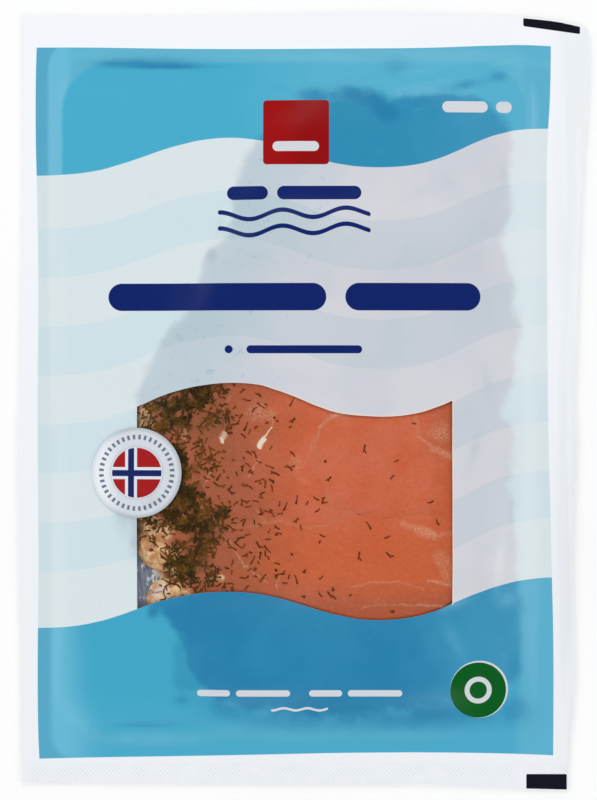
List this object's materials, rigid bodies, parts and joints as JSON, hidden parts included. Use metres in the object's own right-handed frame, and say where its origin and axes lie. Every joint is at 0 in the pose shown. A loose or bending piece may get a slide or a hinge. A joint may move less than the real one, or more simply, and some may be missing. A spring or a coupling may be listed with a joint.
{
  "type": "sealed film pack of sliced gravlax",
  "caption": "Flat sealed film pack of sliced, dill-cured salmon on a silvered board, with a striped blue and white lid film, a clear window and a round sticker.",
  "frame": {"origin": "on the surface that the pack lies on, under the middle of the pack's outline", "axes": "+X to the right as the print is looked at, +Y to the top edge of the pack, +Z out of the printed face"},
  "size_m": [0.1509, 0.2048, 0.0133],
  "materials": {
    "back_film": "smooth white film, soft gloss",
    "board": "silvered card, brushed sheen",
    "salmon": "moist raw fish, orange-pink, with dark green dill",
    "lid_film": "printed clear film, soft gloss",
    "badge": "white coated paper label"
  },
  "bodies": {
    "root": {"back_film": "back_film", "board": "board", "slice_1": "salmon", "slice_2": "salmon", "slice_3": "salmon", "slice_4": "salmon", "slice_5": "salmon", "slice_6": "salmon", "slice_7": "salmon", "lid_film": "lid_film", "badge": "badge"}
  },
  "joints": []
}
